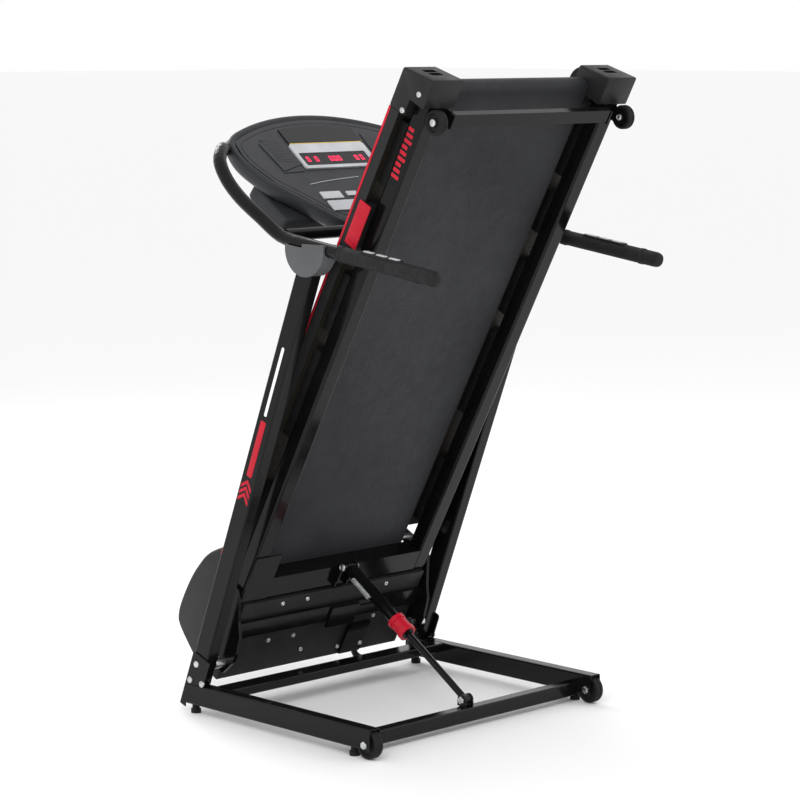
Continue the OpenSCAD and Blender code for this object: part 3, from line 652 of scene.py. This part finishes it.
class TREADMILL_OT_bolts(PieceOperator, bpy.types.Operator):
    """Bolt and screw heads set on points with Geometry Nodes"""
    bl_idname = "treadmill.bolts"
    bl_label = "Bolts and screws"

    def execute(self, context):
        out = Vector((1, 0, 0))
        base, hexes, deckset = [], [], []
        for side in (-1, 1):
            for p, a in PLATE_BOLTS:
                base.append((flip(upright(350, p, a), side), out * side, 0.0075))
            hexes.append((flip(world(350, -272, 31), side), out * side, 0.0085))
            hexes.append((flip(world(320, -272, 31), side), -out * side, 0.0085))
            hexes.append((flip(world(12.2, -216, 55.5), side), out * side, 0.0085))
            deckset.append((flip(deck(300.3, 38, 1499), side), out * side, 0.0062))
            deckset.append((flip(deck(300.3, 64, 1548), side), out * side, 0.0062))
            deckset.append((flip(deck(285.2, 110, 1511), side), out * side, 0.0078))
            deckset.append((flip(deck(263.5, 110, 1511), side), -out * side, 0.0072))
            deckset.append((flip(deck(19.2, 100.5, 385), side), out * side, 0.0085))
        down = deck(0, 1, 0) - deck(0, 0, 0)
        down.normalize()
        for x, s, t in PAN_SCREWS:
            deckset.append((deck(x, t, s), down, 0.0056))
        a = set_bolts("plate_bolts", base, "base")
        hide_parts("base_fasteners")
        set_bolts("base_hex_bolts", hexes, "base", 6, False, 0.55)
        b = set_bolts("deck_screws", deckset, "deck")
        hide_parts("deck_fasteners")
        return {"FINISHED"}


class TREADMILL_OT_wheels(PieceOperator, bpy.types.Operator):
    """Transport wheels and deck wheels with tyre, dished web and hub"""
    bl_idname = "treadmill.wheels"
    bl_label = "Wheels"

    def wheel(self, name, body, r, x0, x1, centre, side, replaced):
        half = (x1 - x0) / 2
        mid = (x0 + x1) / 2
        ring, web, hub = r - 6.5, r - 8.5, 8.5
        prof = [(4.1, -half), (hub, -half), (hub + 0.6, -half + 0.8), (hub + 0.6, -half + 3.2),
                (web, -half + 4), (ring, -half + 1.0), (ring + 1, -half), (r - 2.4, -half),
                (r - 0.6, -half + 1), (r, -half + 2.6), (r, -2.2), (r - 0.9, -1.6), (r - 0.9, 1.6),
                (r, 2.2), (r, half - 2.6), (r - 0.6, half - 1), (r - 2.4, half), (ring + 1, half),
                (ring, half - 1.0), (web, half - 4), (hub + 0.6, half - 3.2),
                (hub + 0.6, half - 0.8), (hub, half), (4.1, half)]

        def place(a, b, h):
            c = centre
            return flip(Vector((((mid + h) / 1000), c[1] + a / 1000, c[2] + b / 1000)), side)
        rings = [[place(q * math.cos(2 * math.pi * k / 64), q * math.sin(2 * math.pi * k / 64), h)
                  for k in range(64)] for q, h in prof]
        verts, faces = rings_mesh(rings, False, True)
        give(new_object(name, verts, faces, M["rubber"]), body, (replaced,))

    def execute(self, context):
        for side, word in ((-1, "left"), (1, "right")):
            n = word + "_transport_wheel"
            self.wheel(n + "_tyre", n, 30, 325, 345, world(335, -272, 31), side, n)
            n = word + "_deck_wheel"
            self.wheel(n + "_tyre", n, 25, 268.6, 285, deck(0, 110, 1511), side, n)
        return {"FINISHED"}


class TREADMILL_OT_grips(PieceOperator, bpy.types.Operator):
    """Foam grips with end rings, and the key pads and buttons on top of them"""
    bl_idname = "treadmill.grips"
    bl_label = "Grips"

    def execute(self, context):
        prof = [(14.15, 98), (16.4, 98), (17, 98.8), (17, 106.5), (16.4, 107.4), (15.6, 108.2)]
        prof += [(15.8, 112), (15.9, 150)]
        prof += [(15.9, 300), (15.9, 312), (15.6, 315), (16.4, 316), (17, 317), (17, 325),
                 (16.4, 326), (15.6, 327), (15.9, 332), (15.9, 356), (15.4, 362), (13.6, 366.5),
                 (10.5, 368.8), (6, 369.8), (0.5, 370)]
        for side, word in ((-1, "left"), (1, "right")):
            place = lambda a, b, h: flip(bar(a, b, h), side)
            grip = new_object(word + "_foam_grip", *lathe(prof, 48, place), M["foam"])
            give(grip, "base", ("grips",))
            lift = lambda x, y, z: flip(bar(x, z, y), side)
            parts = [soft_block(lift, -9.2, 9.2, 152, 273, 13.2, 17.6, 9.1, 1.2)]
            pod = new_object(word + "_key_pod", *joined(parts), M["plastic"])
            give(pod, "base")
            parts = [soft_block(lift, -6.6, 6.6, 162, 190, 17.3, 19, 6.5, 1.2),
                     soft_block(lift, -6.6, 6.6, 198, 226, 17.3, 19, 6.5, 1.2),
                     soft_block(lift, -6.6, 6.6, 234, 262, 17.3, 19, 6.5, 1.2)]
            rocker = new_object(word + "_key_rocker", *joined(parts), M["silver"])
            give(rocker, word + "_grip_key", (word + "_grip_key",))
        return {"FINISHED"}


CROWN = 140.0
HALF = 276.0
CROWN_RISE = 74
CROWN_R = (HALF * HALF + CROWN_RISE * CROWN_RISE) / (2 * CROWN_RISE)
CENTRE_DROP = 20
OUTLINE = [(-270, 60), (-276, 15), (-273, -10), (-240, -83), (-197, -125), (-132, -202),
           (-104, -212), (104, -212), (132, -202), (197, -125), (240, -83), (273, -10),
           (276, 15), (270, 60), (200, 200), (-200, 200)]


def console_radius(angle):
    """Distance from the console's middle to its outline at an angle."""
    dx, dy = math.cos(angle), math.sin(angle)
    oy = -CROWN_R + CROWN + CENTRE_DROP
    best = dy * oy + math.sqrt((dy * oy) ** 2 - (oy * oy - CROWN_R ** 2))
    for i in range(len(OUTLINE)):
        (x0, y0), (x1, y1) = OUTLINE[i], OUTLINE[(i + 1) % len(OUTLINE)]
        y0, y1 = y0 + CENTRE_DROP, y1 + CENTRE_DROP
        ex, ey = x1 - x0, y1 - y0
        det = dx * ey - dy * ex
        if abs(det) < 1e-9:
            continue
        t = (x0 * ey - y0 * ex) / det
        u = (x0 * dy - y0 * dx) / det
        if t > 0 and -1e-6 <= u <= 1 + 1e-6:
            best = min(best, t)
    return best


def console_ring(inset, count=144, soften=4):
    radii = [console_radius(2 * math.pi * k / count) for k in range(count)]
    for _ in range(soften):
        radii = [(radii[k - 1] + 2 * radii[k] + radii[(k + 1) % count]) / 4 for k in range(count)]
    pts = []
    for k in range(count):
        a = 2 * math.pi * k / count
        pts.append(Vector((radii[k] * math.cos(a), radii[k] * math.sin(a) - CENTRE_DROP)))
    out = []
    for k in range(count):
        t = (pts[(k + 1) % count] - pts[k - 1]).normalized()
        out.append(pts[k] + Vector((-t.y, t.x)) * inset)
    return out


SEGMENTS = {"0": "abcdef", "1": "bc", "2": "abged", "3": "abgcd", "4": "fgbc", "5": "afgcd",
            "6": "afgedc", "7": "abc", "8": "abcdefg", "9": "abcdfg"}


def digit_parts(char, x, v, w, wide, high, stroke):
    """Bars of a seven bar number on the console face."""
    mid, top = v + high / 2, v + high
    bars = {"a": (x, x + wide, top - stroke, top), "g": (x, x + wide, mid - stroke / 2, mid + stroke / 2),
            "d": (x, x + wide, v, v + stroke), "f": (x, x + stroke, mid, top),
            "b": (x + wide - stroke, x + wide, mid, top), "e": (x, x + stroke, v, mid),
            "c": (x + wide - stroke, x + wide, v, mid)}
    return [soft_block(face, a, b, c, d, w, w + 0.25, stroke * 0.3, 0.05, 2)
            for a, b, c, d in (bars[k] for k in SEGMENTS[char])]


class TREADMILL_OT_console(PieceOperator, bpy.types.Operator):
    """Console shell, display digits, window line, grille slots and trim lines"""
    bl_idname = "treadmill.console"
    bl_label = "Console"

    def shell(self):
        levels = [(70, -44), (48, -45.6), (30, -44.5), (16, -40), (7, -31), (2.4, -19), (0.6, -9),
                  (0.8, -4), (2.6, -1.2), (5.6, -0.1), (9.5, -0.3), (13, -1.6), (15.4, -3.6), (16.2, -6)]
        rings = []
        for inset, w in levels:
            rings.append([face(p.x, p.y, w) for p in console_ring(inset)])
        verts, faces = rings_mesh(rings, False)
        n = len(rings[0])
        faces.append(tuple(range(n - 1, -1, -1)))
        body = (verts, faces)
        pod = soft_block(face, -233, 233, -150, -21, -79, -40, 16, 7, 6)
        obj = new_object("console_body", *joined([body, pod]), M["console"], angle=50)
        give(obj, "base", ("console_shell",))

    def execute(self, context):
        self.shell()
        inner = [face(p.x, p.y, -1.95) for p in console_ring(30)]
        outer = [face(p.x, p.y, -1.95) for p in console_ring(27.5)]
        high_i = [face(p.x, p.y, -1.5) for p in console_ring(29.5)]
        high_o = [face(p.x, p.y, -1.5) for p in console_ring(28)]
        verts, faces = rings_mesh([outer, high_o, high_i, inner], False, True)
        give(new_object("face_groove_line", verts, faces, M["gloss"]), "base")
        led = []
        for start, text in ((-92, "0"), (-68, "0"), (-26, "000"), (50, "0"), (66, "0")):
            for i, c in enumerate(text):
                led += digit_parts(c, start + i * 12.5, -14, 0.55, 8.5, 15, 1.8)
        give(new_object("display_digits", *joined(led), M["led"], False), "base")
        line = [soft_block(face, -106, 106, 43.6, 45.2, 0.65, 1.2, 0.7, 0.1, 2)]
        give(new_object("window_line", *joined(line), M["yellow"]), "base")
        sweep_line = smooth_path([face(-136, -82, -1.9), face(-96, -76, -1.6), (face(-40, -70, -1.6)),
                                  face(17, -65, -1.9)], 8)
        parts = [sweep(sweep_line, 0.0009, 8, (0, 0, 1))]
        give(new_object("face_trim_line", *joined(parts), M["silver"]), "base")
        slots = []
        for side in (-1, 1):
            for k in range(11):
                v = -12 + 6.6 * k
                x0 = 124 + 0.05 * k
                x1 = 172 + 1.1 * k
                place = lambda x, y, z, s=side: face(x * s, y + (x - 124) * 0.12, z)
                slots.append(soft_block(place, x0, x1, v - 1.3, v + 1.3, 0.3, 0.6, 1.2, 0.05, 3))
        give(new_object("grille_slots", *joined(slots), M["panel"]), "base")
        return {"FINISHED"}


class TREADMILL_OT_hood(PieceOperator, bpy.types.Operator):
    """Rounded motor hood, closed at both sides"""
    bl_idname = "treadmill.hood"
    bl_label = "Motor hood"

    def execute(self, context):
        prof = [(-24, 396), (-62, 350), (-78, 307), (-87, 259), (-89, 198), (-83, 164), (-70, 148),
                (-44, 134), (3.6, 114)]
        curve = smooth_path([Vector((t, s, 0)) for t, s in prof], 6)
        half = 272
        rings = []
        xs = [(-half, 9), (-half + 1.2, 5.5), (-half + 4, 2.4), (-half + 9, 0.6), (-half + 16, 0)]
        xs += [(-x, i) for x, i in reversed(xs)]
        n = len(curve)
        norms = []
        for k in range(n):
            d = (curve[min(k + 1, n - 1)] - curve[max(k - 1, 0)]).normalized()
            norms.append(Vector((d.y, -d.x, 0)))
        for x, inset in xs:
            ring = []
            for k in range(n):
                p = curve[k] - norms[k] * (inset + 0.6)
                ring.append(deck(x, min(p.x, 3.6), max(p.y, 114.2 + inset)))
            rings.append(ring + [deck(x, t, q) for t, q in ((3.6, 321), (-2, 323), (-2, 394 - inset))])
        verts, faces = rings_mesh(rings)
        obj = new_object("hood_cover", verts, faces, M["hood"], angle=40)
        give(obj, "deck", ("motor_hood",))
        return {"FINISHED"}


def rib_tree(material):
    """Repeats one small bar at an even pitch along a straight line."""
    g, ids = tree("repeat_ribs", [("Bar", "NodeSocketObject", None), ("Count", "NodeSocketInt", 10),
                                  ("Step", "NodeSocketVector", (0, 0, 0.006))])
    n = g.nodes
    gin, gout = n.new("NodeGroupInput"), n.new("NodeGroupOutput")
    line = n.new("GeometryNodeMeshLine")
    line.mode = "OFFSET"
    info = n.new("GeometryNodeObjectInfo")
    put = n.new("GeometryNodeInstanceOnPoints")
    real = n.new("GeometryNodeRealizeInstances")
    paint = n.new("GeometryNodeSetMaterial")
    paint.inputs["Material"].default_value = material
    wire(g, (gin.outputs["Count"], line.inputs["Count"]), (gin.outputs["Step"], line.inputs["Offset"]),
         (gin.outputs["Bar"], info.inputs["Object"]), (info.outputs["Geometry"], put.inputs["Instance"]),
         (line.outputs["Mesh"], put.inputs["Points"]), (put.outputs["Instances"], real.inputs["Geometry"]),
         (real.outputs["Geometry"], paint.inputs["Geometry"]),
         (paint.outputs["Geometry"], gout.inputs["Geometry"]))
    return g, ids


def repeat_bar(name, part, count, step, material, body):
    bar_obj = new_object(name + "_one", *part, material)
    g, ids = rib_tree(material)
    holder = bpy.data.objects.new(name + "_holder", bpy.data.meshes.new(name))
    bpy.context.scene.collection.objects.link(holder)
    obj = run_tree(holder, g, {ids["Bar"]: bar_obj, ids["Count"]: count, ids["Step"]: tuple(step)}, name)
    bpy.data.objects.remove(bar_obj)
    return give(obj, body)


class TREADMILL_OT_deck_trim(PieceOperator, bpy.types.Operator):
    """Foot rail ribs, cushion ribs and the plain red marks on the side tubes"""
    bl_idname = "treadmill.deck_trim"
    bl_label = "Deck trim"

    def execute(self, context):
        look = context.scene.treadmill_look
        pitch = look.rib_pitch
        step = (deck(0, 0, 1) - deck(0, 0, 0)).normalized() * pitch
        place = lambda x, y, z: deck(x, -z, y)
        for side, word in ((-1, "left"), (1, "right")):
            x0, x1 = sorted((side * 224, side * 292))
            one = soft_block(place, x0, x1, 404, 407, -0.4, -0.02, 1.2, 0.15, 2)
            repeat_bar(word + "_rail_ribs", one, int(1.08 / pitch), step, M["plastic"], "deck")
            out = lambda x, y, z, s=side: deck(s * (303 + z), x, y)
            one = soft_block(out, 20, 50, 1191, 1195, -0.3, 0.45, 1.4, 0.2, 3)
            repeat_bar(word + "_cushion_ribs", one, 12, step.normalized() * 0.0082, M["red"], "deck")
            block = soft_block(out, 18.2, 51.8, 1188.3, 1286.7, -2.8, -0.1, 2.2, 0.6, 4)
            give(new_object(word + "_cushion_pad", *block, M["red"]), "deck",
                 ("red_cushions",))
            x0, x1 = sorted((side * 245.5, side * 299.6))
            block = soft_block(place, x0, x1, 1188.6, 1286.4, -44.8, -23.6, 2, 0.6, 3)
            give(new_object(word + "_cushion_core", *block, M["rubber"]), "deck")
            marks = []
            flat = lambda x, y, z, s=side: deck(s * (281 + z), x, y)
            for k in range(9):
                s0 = 1360 + 13 * k
                far = 74 - (k % 3) * 3
                marks.append(soft_block(flat, 52, far, s0, s0 + 7.5, 0.02, 0.25, 1.5, 0.05, 2))
            give(new_object(word + "_tube_marks", *joined(marks), M["red"]), "deck")
        return {"FINISHED"}


class TREADMILL_OT_upright_stripes(PieceOperator, bpy.types.Operator):
    """Plain red and white bars on the outer faces of the uprights"""
    bl_idname = "treadmill.upright_stripes"
    bl_label = "Upright stripes"

    def execute(self, context):
        for side, word in ((-1, "left"), (1, "right")):
            place = lambda x, y, z, s=side: flip(upright(347 + z, x, y), s)
            red, white = [], []
            for k in range(3):
                a = 524 + 15 * k
                pts = [(6, a), (22, a + 16), (38, a), (38, a + 9), (22, a + 25), (6, a + 9)]
                low = [place(p, q, 0.02) for p, q in pts]
                top = [place(p, q, 0.26) for p, q in pts]
                red.append(rings_mesh([low, top]))
            red.append(soft_block(place, 14, 30, 586, 716, 0.02, 0.26, 3, 0.05, 3))
            white.append(soft_block(place, 18, 26, 728, 886, 0.02, 0.26, 3, 0.05, 3))
            give(new_object(word + "_upright_red", *joined(red), M["red"]), "base")
            give(new_object(word + "_upright_white", *joined(white), M["white"]), "base")
        return {"FINISHED"}


class TREADMILL_OT_end_caps(PieceOperator, bpy.types.Operator):
    """End caps with eased edges, two slots and a round roller boss"""
    bl_idname = "treadmill.end_caps"
    bl_label = "Deck end caps"

    def execute(self, context):
        outline = [(0, 1490), (0, 1575), (86, 1590), (86, 1526), (44.8, 1526), (44.8, 1490)]
        for side, word in ((-1, "left"), (1, "right")):
            rings = []
            for x, inset in ((213.9, 2.2), (214.6, 0.8), (216.2, 0.0), (298, 0.0), (299.6, 0.8),
                             (300.3, 2.2)):
                ring = []
                n = len(outline)
                for k in range(n):
                    p, q, r = (Vector(outline[k - 1]), Vector(outline[k]), Vector(outline[(k + 1) % n]))
                    d0, d1 = (p - q).normalized(), (r - q).normalized()
                    ease = 5.0
                    a, b = q + d0 * ease, q + d1 * ease
                    for u in (0, 0.25, 0.5, 0.75, 1):
                        c = a * (1 - u) ** 2 + q * 2 * u * (1 - u) + b * u * u
                        m = Vector((43, 1545)) - c
                        m.normalize()
                        c = c + m * inset
                        ring.append(deck(side * x, c.x, c.y))
                rings.append(ring)
            body = rings_mesh(rings)
            prof = [(37, 0), (37, 15.5), (36, 17.6), (34, 18.6), (12, 19), (0.5, 19)]
            boss = lathe(prof, 72, lambda a, b, h: deck(side * (214 + h), 25 + a, 1541 + b))
            cap = new_object(word + "_cap", *body, M["plastic"], angle=40)
            for t0, t1 in ((22, 36), (40, 54)):
                place = lambda x, y, z, s=side: deck(s * x, y, z)
                cutter = new_object("cutter", *soft_block(place, 240, 274, t0, t1, 1563, 1604, 3, 0.2, 4),
                                    M["plastic"])
                mod = cap.modifiers.new("slot", "BOOLEAN")
                mod.operation, mod.solver, mod.object = "DIFFERENCE", "EXACT", cutter
                context.view_layer.update()
                me = bpy.data.meshes.new_from_object(cap.evaluated_get(context.evaluated_depsgraph_get()))
                cap.modifiers.clear()
                cap.data = me
                bpy.data.objects.remove(cutter)
            cap.data.shade_smooth()
            cap.data.set_sharp_from_angle(angle=math.radians(40))
            give(cap, "deck", ("end_caps",))
            give(new_object(word + "_roller_boss", *boss, M["gloss"]), "deck")
        return {"FINISHED"}


class TREADMILL_OT_spring(PieceOperator, bpy.types.Operator):
    """Small coil spring beside the lock strut, made with Geometry Nodes"""
    bl_idname = "treadmill.spring"
    bl_label = "Strut spring"

    def execute(self, context):
        box_low, box_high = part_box("strut_spring")
        low, high = Vector(box_low), Vector(box_high)
        joint = next(j for j in frame["joints"] if j["name"] == "strut_slide")
        along = Vector(joint["axis"]).normalized()
        mid = (low + high) / 2
        g, ids = tree("coil", [("Turns", "NodeSocketFloat", 20.0), ("Length", "NodeSocketFloat", 0.064),
                               ("Radius", "NodeSocketFloat", 0.0046), ("Wire", "NodeSocketFloat", 0.0009)])
        n = g.nodes
        gin, gout = n.new("NodeGroupInput"), n.new("NodeGroupOutput")
        spiral = n.new("GeometryNodeCurveSpiral")
        spiral.inputs["Resolution"].default_value = 20
        circle = n.new("GeometryNodeCurvePrimitiveCircle")
        circle.inputs["Resolution"].default_value = 8
        tube = n.new("GeometryNodeCurveToMesh")
        tube.inputs["Fill Caps"].default_value = True
        real = n.new("GeometryNodeRealizeInstances")
        paint = n.new("GeometryNodeSetMaterial")
        paint.inputs["Material"].default_value = M["zinc"]
        wire(g, (gin.outputs["Turns"], spiral.inputs["Rotations"]),
             (gin.outputs["Length"], spiral.inputs["Height"]),
             (gin.outputs["Radius"], spiral.inputs["Start Radius"]),
             (gin.outputs["Radius"], spiral.inputs["End Radius"]),
             (gin.outputs["Wire"], circle.inputs["Radius"]),
             (spiral.outputs["Curve"], tube.inputs["Curve"]),
             (circle.outputs["Curve"], tube.inputs["Profile Curve"]),
             (tube.outputs["Mesh"], real.inputs["Geometry"]),
             (real.outputs["Geometry"], paint.inputs["Geometry"]),
             (paint.outputs["Geometry"], gout.inputs["Geometry"]))
        holder = bpy.data.objects.new("spring_holder", bpy.data.meshes.new("spring_holder"))
        context.scene.collection.objects.link(holder)
        turns = float(context.scene.treadmill_look.spring_turns)
        obj = run_tree(holder, g, {ids["Turns"]: turns, ids["Length"]: 0.062}, "strut_coil")
        turn = Vector((0, 0, 1)).rotation_difference(along).to_matrix().to_4x4()
        obj.data.transform(Matrix.Translation(mid - along * 0.031) @ turn)
        obj.data.shade_smooth()
        give(obj, "strut_sleeve", ("strut_spring",))
        return {"FINISHED"}


HARNESS = [(160, 290, 67.5), (160, 294, 58), (163, 288, 42), (178, 266, 32), (208, 246, 30),
           (248, 238, 33), (280, 238, 46), (297, 244, 64), (306, 247, 75), (315.5, 247, 75)]


class TREADMILL_OT_conduit(PieceOperator, bpy.types.Operator):
    """Corrugated wiring conduit between the motor pan and the right upright"""
    bl_idname = "treadmill.conduit"
    bl_label = "Wiring conduit"

    def execute(self, context):
        pitch = context.scene.treadmill_look.conduit_pitch
        line = smooth_path([world(*p) for p in HARNESS], 24)
        dist = [0.0]
        for a, b in zip(line, line[1:]):
            dist.append(dist[-1] + (b - a).length)
        total = dist[-1]
        count = int(total / (pitch / 4))
        path = []
        j = 0
        for k in range(count + 1):
            d = total * k / count
            while j < len(dist) - 2 and dist[j + 1] < d:
                j += 1
            u = (d - dist[j]) / max(dist[j + 1] - dist[j], 1e-9)
            path.append(line[j].lerp(line[j + 1], u))
        radius = lambda i: 0.0079 if i % 4 in (1, 2) else 0.0068
        obj = new_object("conduit", *sweep(path, radius, 20, (0.2, 1, 0.1)), M["plastic"], angle=60)
        give(obj, "base", ("harness_conduit",))
        return {"FINISHED"}


class TREADMILL_OT_covers(PieceOperator, bpy.types.Operator):
    """Thin collars on the handlebars beside the grips"""
    bl_idname = "treadmill.covers"
    bl_label = "Handlebar collars"

    def execute(self, context):
        for side, word in ((-1, "left"), (1, "right")):
            prof = [(14.1, 0), (16.2, 0), (16.8, 0.8), (16.8, 5), (16.2, 6), (14.1, 6)]
            place = lambda a, b, h: flip(bar(a, b, 92 + h), side)
            give(new_object(word + "_bar_collar", *lathe(prof, 48, place), M["gloss"]), "base")
        return {"FINISHED"}


OPERATORS = (TREADMILL_OT_stage, TREADMILL_OT_finishes, TREADMILL_OT_conduit, TREADMILL_OT_bolts,
             TREADMILL_OT_wheels, TREADMILL_OT_grips, TREADMILL_OT_console, TREADMILL_OT_hood,
             TREADMILL_OT_deck_trim, TREADMILL_OT_upright_stripes, TREADMILL_OT_end_caps,
             TREADMILL_OT_spring, TREADMILL_OT_covers)


class TREADMILL_PT_panel(bpy.types.Panel):
    """Sizes, colours and build steps of the treadmill"""
    bl_idname = "TREADMILL_PT_panel"
    bl_label = "Treadmill"
    bl_space_type = "VIEW_3D"
    bl_region_type = "UI"
    bl_category = "Treadmill"

    def draw(self, context):
        look = context.scene.treadmill_look
        for name in ("frame_color", "trim_color", "rib_pitch", "spring_turns", "conduit_pitch"):
            self.layout.prop(look, name)
        for op in OPERATORS:
            self.layout.operator(op.bl_idname)


CLASSES = (TreadmillLook, *OPERATORS, TREADMILL_PT_panel)


def register():
    for c in CLASSES:
        bpy.utils.register_class(c)
    bpy.types.Scene.treadmill_look = bpy.props.PointerProperty(type=TreadmillLook)


def unregister():
    del bpy.types.Scene.treadmill_look
    for c in reversed(CLASSES):
        bpy.utils.unregister_class(c)


def main():
    register()
    for op in OPERATORS:
        group, name = op.bl_idname.split(".")
        if getattr(getattr(bpy.ops, group), name)() != {"FINISHED"}:
            raise RuntimeError(op.bl_label + " did not finish")


if __name__ == "__main__":
    main()
